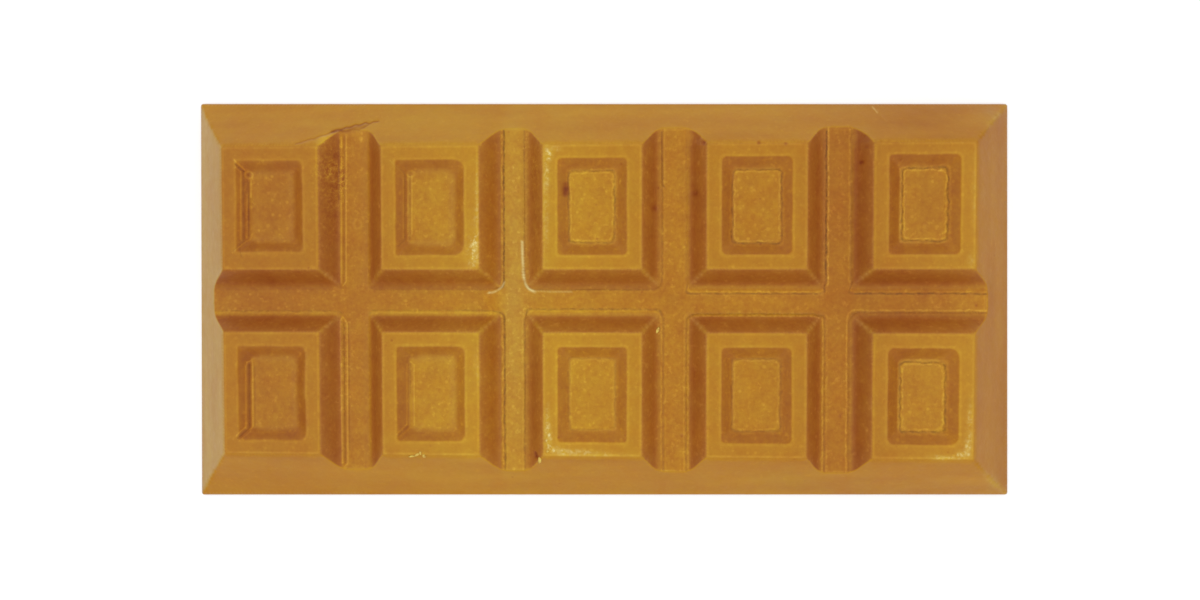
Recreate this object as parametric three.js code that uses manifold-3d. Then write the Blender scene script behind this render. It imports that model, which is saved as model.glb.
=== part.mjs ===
// A moulded bar of blond chocolate: two rows of five blocks, each with a raised rim round a sunken panel.
// Four cross grooves and one lengthwise groove part the blocks and run out through the sloping sides.
// Millimetres, +Z up. The bar's length lies along X and its width along Y, the flat back is at z = 0,
// and the origin is at the middle of the back. The bar is one solid piece.

import * as THREE from 'three';
import { mergeVertices } from 'three/addons/utils/BufferGeometryUtils.js';
import Module from 'manifold-3d';

// Driving dimensions of the layout
const COLUMNS = 5;
const ROWS = 2;
const COLUMN_PITCH = 29.4;
const ROW_PITCH = 33.8;
const BLOCK_LENGTH = 17.9;
const BLOCK_WIDTH = 22.5;

// Driving dimensions of the slab
const BAR_HEIGHT = 9.6;
const LIP_HEIGHT = 0.4;
const SIDE_RUN = 8.6;
const EDGE_BEVEL_RUN = 0.36;
const EDGE_BEVEL_DROP = 0.16;

// Driving dimensions of the grooves
const GROOVE_DEPTH = 3.3;
const GROOVE_SLOPE_DEGREES = 48;
const FOOT_RADIUS = 0.9;
const FOOT_STEPS = 3;
const CHANNEL_HALF_WIDTH_ACROSS = 2.05;
const CHANNEL_HALF_WIDTH_ALONG = 1.97;
const CHANNEL_DEPTH = 0.14;
const CHANNEL_CORNER_RADIUS = 1.8;

// Driving dimensions of the sunken panels
const RIM_WIDTH_X = 2.74;
const RIM_WIDTH_Y = 2.68;
const PANEL_DEPTH = 1.2;
const PANEL_WALL_RUN = 2.2;
const PANEL_CORNER_RADIUS = 0.8;
const PANEL_LIP_RUN = 0.3;
const PANEL_LIP_DROP = 0.05;

const ARC_STEPS = 4;
const CUT_CLEARANCE = 1;

const CHOCOLATE_COLOUR = 0xb9802f;
const CHOCOLATE_ROUGHNESS = 0.45;

// Sizes that follow from the driving dimensions
const topHalfLength = (COLUMN_PITCH * (COLUMNS - 1) + BLOCK_LENGTH) / 2;
const topHalfWidth = (ROW_PITCH * (ROWS - 1) + BLOCK_WIDTH) / 2;
const baseHalfLength = topHalfLength + SIDE_RUN;
const baseHalfWidth = topHalfWidth + SIDE_RUN;
const grooveFloor = BAR_HEIGHT - GROOVE_DEPTH;
const grooveSlope = THREE.MathUtils.degToRad(GROOVE_SLOPE_DEGREES);
const grooveHalfWidthAcross = (COLUMN_PITCH - BLOCK_LENGTH) / 2;
const grooveHalfWidthAlong = (ROW_PITCH - BLOCK_WIDTH) / 2;

const wasm = await Module();
wasm.setup();

// The centre of column or row number i, of count, at the given pitch
function centred(i, count, pitch) {
  return (i - (count - 1) / 2) * pitch;
}

function toSolid(geometry) {
  geometry.deleteAttribute('normal');
  geometry.deleteAttribute('uv');
  const merged = mergeVertices(geometry);
  return new wasm.Manifold(new wasm.Mesh({
    numProp: 3,
    vertProperties: new Float32Array(merged.attributes.position.array),
    triVerts: new Uint32Array(merged.index.array),
  }));
}

function toGeometry(solid) {
  const mesh = solid.getMesh();
  const geometry = new THREE.BufferGeometry();
  geometry.setAttribute('position', new THREE.BufferAttribute(mesh.vertProperties, 3));
  geometry.setIndex(new THREE.BufferAttribute(mesh.triVerts, 1));
  geometry.computeVertexNormals();
  return geometry;
}

// A rectangle about the Z axis, counter-clockwise seen from above, with round corners where radius is set
function rectangleRing(halfX, halfY, z, radius = 0) {
  const signs = [[1, 1], [-1, 1], [-1, -1], [1, -1]];
  const ring = [];
  signs.forEach(([signX, signY], corner) => {
    const centreX = signX * (halfX - radius);
    const centreY = signY * (halfY - radius);
    const steps = radius > 0 ? ARC_STEPS : 0;
    for (let step = 0; step <= steps; step += 1) {
      const angle = (corner + (steps > 0 ? step / steps : 0)) * Math.PI / 2;
      ring.push(new THREE.Vector3(
        centreX + radius * Math.cos(angle),
        centreY + radius * Math.sin(angle),
        z,
      ));
    }
  });
  return ring;
}

// A closed solid through rings of equal count, from the lowest ring to the highest
function loft(rings) {
  const count = rings[0].length;
  const last = (rings.length - 1) * count;
  const triangles = [];
  for (let i = 1; i < count - 1; i += 1) {
    triangles.push(0, i + 1, i);
    triangles.push(last, last + i, last + i + 1);
  }
  for (let level = 0; level < rings.length - 1; level += 1) {
    for (let i = 0; i < count; i += 1) {
      const a = level * count + i;
      const b = level * count + (i + 1) % count;
      triangles.push(a, b, b + count);
      triangles.push(a, b + count, a + count);
    }
  }
  const geometry = new THREE.BufferGeometry().setFromPoints(rings.flat());
  geometry.setIndex(triangles);
  return toSolid(geometry);
}

// The whole bar without its grooves and panels: a short lip, the sloping sides and a bevelled top edge
function slab() {
  const bevelLength = topHalfLength + EDGE_BEVEL_RUN / 2;
  const bevelWidth = topHalfWidth + EDGE_BEVEL_RUN / 2;
  return loft([
    rectangleRing(baseHalfLength, baseHalfWidth, 0),
    rectangleRing(baseHalfLength, baseHalfWidth, LIP_HEIGHT),
    rectangleRing(bevelLength, bevelWidth, BAR_HEIGHT - EDGE_BEVEL_DROP),
    rectangleRing(topHalfLength - EDGE_BEVEL_RUN / 2, topHalfWidth - EDGE_BEVEL_RUN / 2, BAR_HEIGHT),
  ]);
}

// One side of a groove's outline, from the middle of its floor to above the block, as [across, height].
// A straight wall meets the floor in a round foot, and a narrow bevel breaks its upper edge.
function grooveSide(halfWidth) {
  const footTangent = FOOT_RADIUS * Math.tan(grooveSlope / 2);
  const wallRun = GROOVE_DEPTH / Math.tan(grooveSlope);
  const footX = halfWidth - wallRun - footTangent;
  const points = [];
  for (let step = 0; step <= FOOT_STEPS; step += 1) {
    const angle = grooveSlope * step / FOOT_STEPS;
    points.push([
      footX + FOOT_RADIUS * Math.sin(angle),
      grooveFloor + FOOT_RADIUS * (1 - Math.cos(angle)),
    ]);
  }
  points.push([halfWidth - EDGE_BEVEL_RUN / 2, BAR_HEIGHT - EDGE_BEVEL_DROP]);
  points.push([halfWidth + EDGE_BEVEL_RUN / 2, BAR_HEIGHT]);
  points.push([halfWidth + EDGE_BEVEL_RUN / 2, BAR_HEIGHT + CUT_CLEARANCE]);
  return points;
}

// A straight groove of the given half width, along Y and centred on the origin, longer than it has to be
function grooveCutter(halfWidth, length) {
  const side = grooveSide(halfWidth);
  const mirrored = side.map(([across, height]) => [-across, height]).reverse();
  const outline = new THREE.Shape(side.concat(mirrored).map(([x, y]) => new THREE.Vector2(x, y)));
  const geometry = new THREE.ExtrudeGeometry(outline, { depth: length, bevelEnabled: false });
  geometry.translate(0, 0, -length / 2);
  geometry.rotateX(Math.PI / 2);
  return toSolid(geometry);
}

function grooves() {
  const cutters = [];
  for (let i = 0; i < COLUMNS - 1; i += 1) {
    const cutter = grooveCutter(grooveHalfWidthAcross, 2 * baseHalfWidth + CUT_CLEARANCE);
    cutters.push(cutter.translate([centred(i, COLUMNS - 1, COLUMN_PITCH), 0, 0]));
  }
  for (let j = 0; j < ROWS - 1; j += 1) {
    const cutter = grooveCutter(grooveHalfWidthAlong, 2 * baseHalfLength + CUT_CLEARANCE);
    cutters.push(cutter.rotate([0, 0, 90]).translate([0, centred(j, ROWS - 1, ROW_PITCH), 0]));
  }
  return cutters.reduce((joined, cutter) => joined.add(cutter));
}

// A rectangle with round corners, as a closed path between two X and two Y values
function roundedPath(path, minX, maxX, minY, maxY, radius) {
  path.moveTo(minX + radius, minY);
  path.lineTo(maxX - radius, minY);
  path.absarc(maxX - radius, minY + radius, radius, -Math.PI / 2, 0, false);
  path.lineTo(maxX, maxY - radius);
  path.absarc(maxX - radius, maxY - radius, radius, 0, Math.PI / 2, false);
  path.lineTo(minX + radius, maxY);
  path.absarc(minX + radius, maxY - radius, radius, Math.PI / 2, Math.PI, false);
  path.lineTo(minX, minY + radius);
  path.absarc(minX + radius, minY + radius, radius, Math.PI, 3 * Math.PI / 2, false);
  path.closePath();
  return path;
}

// The low middle of the groove floors. Each block stands on a shallow plinth with round corners, and the
// plinths of the outer blocks reach past the bar's sides, so that only the inner corners show as round.
function floorChannel() {
  const reachX = baseHalfLength + CUT_CLEARANCE;
  const reachY = baseHalfWidth + CUT_CLEARANCE;
  const field = roundedPath(new THREE.Shape(), -reachX, reachX, -reachY, reachY, CHANNEL_CORNER_RADIUS);
  for (let i = 0; i < COLUMNS; i += 1) {
    for (let j = 0; j < ROWS; j += 1) {
      const x = centred(i, COLUMNS, COLUMN_PITCH);
      const y = centred(j, ROWS, ROW_PITCH);
      const halfX = COLUMN_PITCH / 2 - CHANNEL_HALF_WIDTH_ACROSS;
      const halfY = ROW_PITCH / 2 - CHANNEL_HALF_WIDTH_ALONG;
      const minX = i === 0 ? -baseHalfLength : x - halfX;
      const maxX = i === COLUMNS - 1 ? baseHalfLength : x + halfX;
      const minY = j === 0 ? -baseHalfWidth : y - halfY;
      const maxY = j === ROWS - 1 ? baseHalfWidth : y + halfY;
      field.holes.push(roundedPath(new THREE.Path(), minX, maxX, minY, maxY, CHANNEL_CORNER_RADIUS));
    }
  }
  const geometry = new THREE.ExtrudeGeometry(field, {
    depth: CHANNEL_DEPTH + CUT_CLEARANCE / 2,
    bevelEnabled: false,
    curveSegments: ARC_STEPS,
  });
  geometry.translate(0, 0, grooveFloor - CHANNEL_DEPTH);
  return toSolid(geometry);
}

// One sunken panel about the Z axis: a worn lip, a shallow sloping wall and a flat floor
function panelCutter() {
  const halfX = BLOCK_LENGTH / 2 - RIM_WIDTH_X;
  const halfY = BLOCK_WIDTH / 2 - RIM_WIDTH_Y;
  const ring = (inset, z) => rectangleRing(halfX - inset, halfY - inset, z, PANEL_CORNER_RADIUS);
  return loft([
    ring(PANEL_WALL_RUN, BAR_HEIGHT - PANEL_DEPTH),
    ring(PANEL_LIP_RUN / 2, BAR_HEIGHT - PANEL_LIP_DROP),
    ring(-PANEL_LIP_RUN / 2, BAR_HEIGHT),
    ring(-PANEL_LIP_RUN / 2, BAR_HEIGHT + CUT_CLEARANCE),
  ]);
}

function panels() {
  const panel = panelCutter();
  const cutters = [];
  for (let i = 0; i < COLUMNS; i += 1) {
    for (let j = 0; j < ROWS; j += 1) {
      const x = centred(i, COLUMNS, COLUMN_PITCH);
      const y = centred(j, ROWS, ROW_PITCH);
      cutters.push(panel.translate([x, y, 0]));
    }
  }
  return cutters.reduce((joined, cutter) => joined.add(cutter));
}

function chocolateBar() {
  const solid = slab().subtract(grooves()).subtract(floorChannel()).subtract(panels());
  const material = new THREE.MeshStandardMaterial({
    color: CHOCOLATE_COLOUR,
    roughness: CHOCOLATE_ROUGHNESS,
    metalness: 0,
  });
  const bar = new THREE.Mesh(toGeometry(solid), material);
  bar.name = 'chocolate_bar';
  return bar;
}

const group = new THREE.Group();
group.add(chocolateBar());

export default group;
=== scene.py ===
# A moulded bar of blond chocolate lying on its back on a pale floor, seen from above.
# Sizes are in millimetres. Meshes are turned into metres where they are made.

import math

import bpy
import numpy as np
from mathutils import Matrix, Vector
from mathutils.geometry import delaunay_2d_cdt


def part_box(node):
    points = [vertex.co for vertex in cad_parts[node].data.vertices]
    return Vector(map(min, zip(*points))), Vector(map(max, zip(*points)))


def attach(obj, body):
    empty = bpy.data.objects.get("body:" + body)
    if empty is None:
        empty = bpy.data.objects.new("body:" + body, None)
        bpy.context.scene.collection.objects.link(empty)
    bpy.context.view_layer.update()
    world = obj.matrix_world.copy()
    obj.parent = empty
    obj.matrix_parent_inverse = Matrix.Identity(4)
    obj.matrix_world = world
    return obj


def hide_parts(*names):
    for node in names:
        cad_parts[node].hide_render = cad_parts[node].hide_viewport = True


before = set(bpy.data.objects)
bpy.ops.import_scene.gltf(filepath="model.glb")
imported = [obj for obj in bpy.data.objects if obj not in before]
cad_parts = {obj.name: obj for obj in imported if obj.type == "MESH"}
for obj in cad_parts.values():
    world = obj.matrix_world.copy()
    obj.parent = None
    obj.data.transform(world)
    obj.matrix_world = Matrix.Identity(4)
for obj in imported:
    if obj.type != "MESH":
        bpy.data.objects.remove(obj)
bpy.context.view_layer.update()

MM = 0.001
BAR_NODE = "chocolate_bar"
bar_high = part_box(BAR_NODE)[1]

# The bar's outer size, from the frame
BAR_HEIGHT = bar_high.z / MM
HALF_LENGTH = bar_high.x / MM
HALF_WIDTH = bar_high.y / MM

# Layout of the blocks
COLUMNS = 5
ROWS = 2
COLUMN_PITCH = 29.4
ROW_PITCH = 33.8
BLOCK_HALF_X = 8.95
BLOCK_HALF_Y = 11.25
BLOCK_CORNER = 0.35

# The slab's sloping sides, and how far down them the grooves reach
LIP_HEIGHT = 0.4
BAR_CORNER = 0.4
TOP_HALF_LENGTH = COLUMN_PITCH * (COLUMNS - 1) / 2 + BLOCK_HALF_X
TOP_HALF_WIDTH = ROW_PITCH * (ROWS - 1) / 2 + BLOCK_HALF_Y
SIDE_RUN = HALF_LENGTH - TOP_HALF_LENGTH
SIDE_SLOPE = (BAR_HEIGHT - LIP_HEIGHT) / SIDE_RUN
SIDE_SOFTNESS = 0.32
GROOVES_END = 3.4

# How far the outline's corners lie off an exact rectangle, along X and Y
FAR_LEFT_SHIFT = (0.73, 0.72)
NEAR_LEFT_SHIFT = (0.0, -1.12)
FAR_RIGHT_SHIFT = (-0.23, -0.64)
NEAR_RIGHT_SHIFT = (0.58, 0.5)

# The grooves and the low channel along the middle of their floors, whose edges are crisp from the seam on
GROOVE_DEPTH = 3.3
GROOVE_WALL_DEGREES = 48
GROOVE_RUN = GROOVE_DEPTH / math.tan(math.radians(GROOVE_WALL_DEGREES))
WALL_BELLY = 0.14
EDGE_SOFTNESS = 0.2
FOOT_SOFTNESS = 0.85
CRISP_FOOT_SOFTNESS = 0.45
LONG_WALL = 0.88
FLARE = 0.1
FAR_FLARE = 0.5
SEAM_START = -27.0
SEAM_REACH = 5.0
CHANNEL_HALF_X = 2.05
CHANNEL_HALF_Y = 1.97
CHANNEL_DEPTH = 0.14
CHANNEL_CORNER = 1.8
CHANNEL_LINE_GAP = 0.38
CHANNEL_LINE_RELIEF = 0.03
LINE_HALF_WIDTH = 0.13
PLINTH_HALF_X = COLUMN_PITCH / 2 - CHANNEL_HALF_X
PLINTH_HALF_Y = ROW_PITCH / 2 - CHANNEL_HALF_Y
SHELF_END = GROOVE_DEPTH / SIDE_SLOPE
CHANNEL_END = (GROOVE_DEPTH + CHANNEL_DEPTH) / SIDE_SLOPE

# The ridge where the grooves run out through the sloping sides: its rounding, where it starts and ends beyond
# the block tops, how far either way it has rows of vertices, and how far apart these lie
RIDGE_SOFTNESS = 0.25
RIDGE_START = 0.12
RIDGE_END = 3.6
RIDGE_REACH = 0.42
RIDGE_SPACING = 0.4

# The sunken panels
RIM_WIDTH_X = 2.74
RIM_WIDTH_Y = 2.68
PANEL_HALF_X = BLOCK_HALF_X - RIM_WIDTH_X
PANEL_HALF_Y = BLOCK_HALF_Y - RIM_WIDTH_Y
PANEL_DEPTH = 1.2
PANEL_RUN = 2.2
PANEL_EDGE_SOFTNESS = 0.08
PANEL_SLOPE = PANEL_DEPTH / PANEL_RUN

# Radii of each panel's left and right corners, for the lower and the upper row of every column
PANEL_CORNERS = (
    ((0.3, 1.2), (0.4, 1.1)),
    ((0.6, 1.2), (0.4, 1.8)),
    ((0.6, 0.7), (0.7, 0.7)),
    ((0.8, 0.9), (1, 1)),
    ((1.2, 1.6), (0.6, 0.9)),
)

# How far some panels' left, right, near and far edges lie further out than usual, by column and row
PANEL_SHIFTS = np.zeros((COLUMNS, ROWS, 4))
PANEL_SHIFTS[0, 1] = (0, -0.2, -0.65, 0)
PANEL_SHIFTS[2, 1] = (0, 0, 0, 0.18)
PANEL_SHIFTS[3, 1] = (0, 0, 0, 0.28)
PANEL_SHIFTS[4, 1] = (0, 0, 0, 0.43)

# How soft the outer edges of each column's panels are
PANEL_EDGES = (0.34, 0.2, 0.13, 0.13, 0.13)

# How softly the walls of each column's panels run into the floor, at the left and elsewhere
PANEL_FEET = ((0.12, 0.55), (0.12, 0.6), (0.16, 0.22), (0.14, 0.26), (0.14, 0.24))

# How far each column's panel edges wander
PANEL_WANDER = (0.14, 0.08, 0.05, 0.05, 0.06)

# How far in from a panel's left, right, near and far edge the fine line round its floor runs, and how
# strong it is, for the lower and the upper row of the last three columns
FIRST_LINED_COLUMN = 2
FLOOR_LINES = (
    ((2.3, 2.5, 2.5, 2.4, 0.35), (2.3, 2.6, 2.6, 2.4, 0.9)),
    ((2.3, 2.2, 2.4, 2.4, 0.6), (2.3, 2.1, 2.4, 2.35, 1.0)),
    ((2.8, 2.5, 2.45, 2.95, 1.1), (2.9, 2.25, 2.75, 2.2, 1.2)),
)
FLOOR_LINE_CORNER = 0.8
FLOOR_LINE_GAP = 0.36
FLOOR_LINE_RELIEF = 0.04

# The fine lines along the channels' edges, at the left, right and inner side of the block in the lower row
# and then in the upper row of every column. Each has how far the edge lies further out than usual, how much
# lighter the shelf before it is, and how strong the outer light, the dark and the inner light line are.
# A darker shelf is painted shade at the foot of the groove wall; the light lines are partly painted highlight
# and the dark line partly painted shade of the fine step at the channel's edge.
PLAIN = (0.0, 0.0, 0.0, 0.0, 0.0)
CHANNEL_EDGES = (
    ((PLAIN, PLAIN, (0, 0.1, 0.06, 0.18, 0)),
     (PLAIN, PLAIN, (0, -0.08, 0, 0, 0))),
    ((PLAIN, (0.45, -0.15, 0.26, 0.38, 0.06), (0.1, 0.12, 0.1, 0.17, 0)),
     (PLAIN, (0.38, -0.2, 0.32, 0.42, 0), (0, -0.16, 0, 0.06, 0))),
    (((0, -0.13, 0, 0.2, 0.1), (0.2, -0.05, 0.24, 0.12, 0.08), (0.38, 0.05, 0.12, 0.24, 0.04)),
     ((0, -0.11, 0.04, 0.16, 0), (0, -0.05, 0.04, 0.14, 0.08), (0, -0.15, 0, 0.16, 0.06))),
    (((-0.25, 0.02, 0.18, 0.12, 0.16), (0, 0, 0.26, 0.14, 0.14), (-0.45, 0.05, 0.24, 0.2, 0)),
     ((-0.25, 0, 0, 0, 0.06), (0.15, -0.1, 0.1, 0.4, 0.34), (0.7, 0, 0.26, 0.28, 0.05))),
    (((-0.2, 0, 0.06, 0.09, 0.26), PLAIN, (-0.15, -0.12, 0.06, 0.14, 0.24)),
     ((-0.5, 0, 0, 0.1, 0.16), PLAIN, (0.7, -0.05, 0.16, 0.34, 0))),
)

# The waviness of the cast surface: height, size and seed of each wave, how far all of it is let down, and how
# far it may rise past the bar's height
WAVES = ((0.03, 6.5, 11), (0.014, 2.3, 12), (0.008, 1.2, 13))
SURFACE_DROP = 0.04
SURFACE_LIMIT = 0.1

# The lip under the sloping sides: how far in and how high each of its rows lies
LIP_ROWS = ((0.0, 0.22), (0.03, 0.07), (0.12, 0.0))

# The back's waviness: height, size, and how far in from the outline it reaches its full height
BACK_WAVE = 0.03
BACK_WAVE_SIZE = 8.0
BACK_WAVE_FADE = 6.0

# Where rows of vertices run, as distances out from each outline, and how far apart vertices lie elsewhere
EDGE_ROWS = (-0.34, -0.16, -0.05, 0.05, 0.16, 0.34)
WALL_ROWS = (0.9, 1.5, 2.1)
FOOT_ROWS = (2.6, 3.0, 3.35)
CHANNEL_ROWS = (-0.5, -0.36, -0.22, -0.1, 0.02, 0.14, 0.28, 0.42, 0.56, 0.7, 0.86)
PANEL_ROWS = (0.16, 0.05, -0.05, -0.16, -0.7, -1.3, -1.8, -2.05, -2.2, -2.35, -2.5, -2.65, -2.8, -2.95, -3.1)
SIDE_ROWS = (-0.16, 0.0, 0.16, 2.95, SHELF_END, 3.15, CHANNEL_END, 3.3, 3.9, 4.6, 5.3, 6.0, 6.7, 7.4, 8.0,
             8.4, SIDE_RUN)
SPACING = 0.62
BACK_SPACING = 1.4
LEAST_SPACING = 0.08
MARK_SPACING = 0.4

# Distances that stand for no outline near a place
FAR_INSIDE = -30.0
NOWHERE = 99.0

# What the material's fine marks read on the back, where they are not 0
ON_BACK = {"speckled": 0.5, "edge": NOWHERE, "panel": NOWHERE, "floor_line": NOWHERE, "channel": NOWHERE}

# Base colours of the bar's surfaces, linear
RIM_PAINT = (0.4037, 0.1774, 0.0094)
PANEL_FLOOR_PAINT = (0.406, 0.18, 0.0095)
# Painted shade: the panel walls are painted darker and redder than the rims
PANEL_WALL_PAINT_WITH_SHADE = (0.34, 0.119, 0.0023)
GROOVE_FLOOR_PAINT = (0.395, 0.1633, 0.0094)
# Painted shade: the groove walls are painted darker and redder than the groove floors
GROOVE_WALL_PAINT_WITH_SHADE = (0.338, 0.1115, 0.0115)
# The sloping sides at the left and right ends and the near and far sides; the left slope is painted paler and
# bluer, a painted sheen
LEFT_PAINT_WITH_SHEEN = (0.426, 0.24, 0.0446)
RIGHT_PAINT = (0.3745, 0.1437, 0.001)
UPPER_PAINT = (0.432, 0.1887, 0.0083)
LOWER_PAINT = (0.418, 0.172, 0.001)
PALE_MITRE_PAINT = (0.47, 0.28, 0.055)
BACK_PAINT = (0.42, 0.19, 0.02)
WORN_PAINT = (0.68, 0.56, 0.22, 1.0)
WORN_BODY_PAINT = (0.53, 0.32, 0.022)
CRUMB_PAINT = (0.6, 0.42, 0.08, 1.0)
FLOOR_PAINT = (0.95, 0.95, 0.95, 1.0)
CHOCOLATE_IOR = 1.3

# A tone of 1 is the usual one. A paler tone is yellower and a darker one redder, by these powers.
TONE_POWERS = (1.0, 2.0, 1.4)

# Thin light lines and dots are paler and less yellow than broad light places
LINE_POWERS = (1.0, 1.65, 3.0)

# Broad changes of tone along the bar: middle, half width and amount. The light band over the middle columns
# is partly a painted broad highlight.
TONE_BANDS = ((-12, 19, 0.12), (-60, 14, -0.07), (46, 7, -0.07), (70, 9, 0.07))
USUAL_TONE = 0.95

# Hairlines left by the mould: change of lightness, half width, relief, and the places they run through. Their
# light lines are partly a painted highlight on fine ridges, their dark lines partly painted shade in the
# creases.
LIGHT = (0.22, 0.12, 0.035)
STRONG_LIGHT = (0.34, 0.14, 0.045)
SOFT_LIGHT = (0.1, 0.14, 0.02)
FAINT_LIGHT = (0.07, 0.3, 0.0)
DARK = (-0.16, 0.12, -0.045)
STRONG_DARK = (-0.3, 0.13, -0.06)
HAIRLINES = (
    (STRONG_LIGHT, ((-64.25, 23.6), (-64.39, 10.96))),
    (STRONG_DARK, ((-65.15, 24.95), (-63.85, 23.65))),
    (DARK, ((-63.85, 23.65), (-63.9, 10.9), (-65.6, 9.1))),
    (STRONG_LIGHT, ((-63.3, 19.5), (-63.47, 11.5))),
    (DARK, ((-63.1, 21.6), (-63.15, 11.8))),
    (STRONG_LIGHT, ((-62.71, 22.1), (-62.75, 19))),
    (STRONG_LIGHT, ((-65.25, 25.65), (-63.65, 23.95))),
    (LIGHT, ((-65.15, 24.4), (-64.3, 23.5))),
    (LIGHT, ((-65.8, 8.8), (-63.9, 10.6), (-62.9, 11.3), (-62.6, 12.2))),
    (LIGHT, ((-34.34, 22.7), (-34.41, 11.2))),
    (DARK, ((-36.4, 25.2), (-34, 22.9), (-34.05, 11.2), (-35.2, 9.9))),
    (LIGHT, ((-33.6, 23), (-33.68, 10.9))),
    (DARK, ((-33.2, 22.8), (-33.3, 11.2))),
    (LIGHT, ((-32.87, 22.7), (-32.94, 12))),
    (LIGHT, ((-36.6, 25.4), (-34.4, 23.2))),
    (STRONG_LIGHT, ((-63.6, -11.3), (-63.83, -12), (-63.87, -23.4))),
    (STRONG_DARK, ((-63.3, -11.8), (-63.34, -23.5))),
    (STRONG_LIGHT, ((-63.6, -11.3), (-62.9, -11), (-62.78, -11.6), (-62.84, -23.3), (-63.2, -23.7))),
    (DARK, ((-62.4, -12.2), (-62.44, -23.2))),
    (STRONG_LIGHT, ((-64, -23.3), (-65.6, -24.9))),
    (STRONG_DARK, ((-63.8, -23.9), (-65.3, -25.3))),
    (LIGHT, ((-63.1, -24.1), (-64.9, -25.7))),
    (SOFT_LIGHT, ((-62.7, -24.25), (-55.97, -24.2))),
    (LIGHT, ((-33.91, -11.6), (-33.98, -22.7))),
    (DARK, ((-33.3, -11.5), (-33.4, -17))),
    (LIGHT, ((-33.4, -11.1), (-32.7, -11.7), (-32.72, -22.7))),
    (LIGHT, ((-34, -22.6), (-35.7, -24.3))),
    (DARK, ((-33.8, -23), (-35.4, -24.6))),
    (SOFT_LIGHT, ((-33.4, -23.2), (-35, -24.8))),
    (STRONG_LIGHT, ((-46.55, 30.1), (-46.75, 3.2))),
    (DARK, ((-46.05, 30.3), (-46.25, 2.7))),
    (STRONG_LIGHT, ((-45.64, 30.1), (-45.86, 3.6), (-46.4, 2.7))),
    (DARK, ((-46.95, 29.6), (-46.9, 26.6), (-47.1, 23), (-46.95, 18.6))),
    (STRONG_LIGHT, ((-46.8, -30.3), (-46.95, -3.7), (-46.5, -3.1), (-45.75, -4.2), (-45.81, -30.3),
                    (-46.19, -30.7))),
    (STRONG_DARK, ((-46.35, -4.2), (-46.3, -30.2))),
    (DARK, ((-45.45, -4.2), (-45.48, -28))),
    (SOFT_LIGHT, ((-47.9, 24.4), (-48.75, 23.7), (-49.1, 22.9))),
    (SOFT_LIGHT, ((-47.2, 25.8), (-47.9, 23.7), (-47.7, 22.1), (-48.6, 21.4))),
    (FAINT_LIGHT, ((-62, 10.75), (-55.8, 10.75))),
    (DARK, ((-64.6, 9.6), (-64.4, 8.9), (-64.2, 8.1))),
    (STRONG_DARK, ((12.5, 30.6), (12.6, 21), (12.95, 20.8))),
    (SOFT_LIGHT, ((12.9, 30.6), (13.02, 21.2))),
    (SOFT_LIGHT, ((12.5, 31), (16.4, 31))),
    (SOFT_LIGHT, ((42.4, 30.85), (46.6, 30.85))),
    (SOFT_LIGHT, ((12.5, -31.15), (16.5, -31.15))),
    (SOFT_LIGHT, ((42.8, -31.1), (46.9, -31.1))),
    (SOFT_LIGHT, ((70.4, 1.4), (70.4, -1.8))),
)

# The cracked fold on the far side and the scratch beside the fourth groove, in the same form
BLEMISH_LINES = (
    ((-0.2, 0.2, -0.1), (
        (-54, 28.6), (-52.9, 28.95), (-52.1, 29.45), (-51, 29.6), (-50.1, 30.2), (-49.2, 30.4),
        (-48.3, 31.05),
    )),
    ((-0.3, 0.19, -0.14), (
        (-48.3, 31.05), (-47.5, 31.5), (-46.7, 31.5), (-46, 31.95), (-45.2, 32), (-44.4, 32.5),
        (-43.5, 32.45), (-42.7, 32.95), (-41.9, 32.7), (-41.2, 33.1), (-40.4, 33.15),
    )),
    ((-0.24, 0.18, -0.08), (
        (-47.9, 31), (-46.8, 31.3), (-45.8, 31.2), (-44.6, 31.55), (-43.4, 31.45), (-42.6, 31.9),
        (-42.1, 32.4),
    )),
    ((-0.2, 0.45, 0), ((-48, 31.2), (-46, 31.55), (-44.2, 31.95), (-42.8, 32.3))),
    ((0.08, 0.35, 0.08), ((-49.5, 29.8), (-47.5, 30.4), (-45, 30.7), (-42.4, 31))),
    ((0.14, 0.16, 0.03), ((51.5, 36), (52.02, 34.5))),
    ((0.08, 0.12, 0.02), ((52.5, 33.8), (53.1, 32.6))),
)

# Small rings left by drops: place, radius, half width of the line, relief and change of lightness
RINGS = (
    (-63, 23.05, 0.62, 0.2, 0.03, 0.34), (-33.1, 23.1, 0.6, 0.2, 0.03, 0.16),
    (-43.6, 14.1, 0.75, 0.22, 0.03, 0.12),
)

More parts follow.
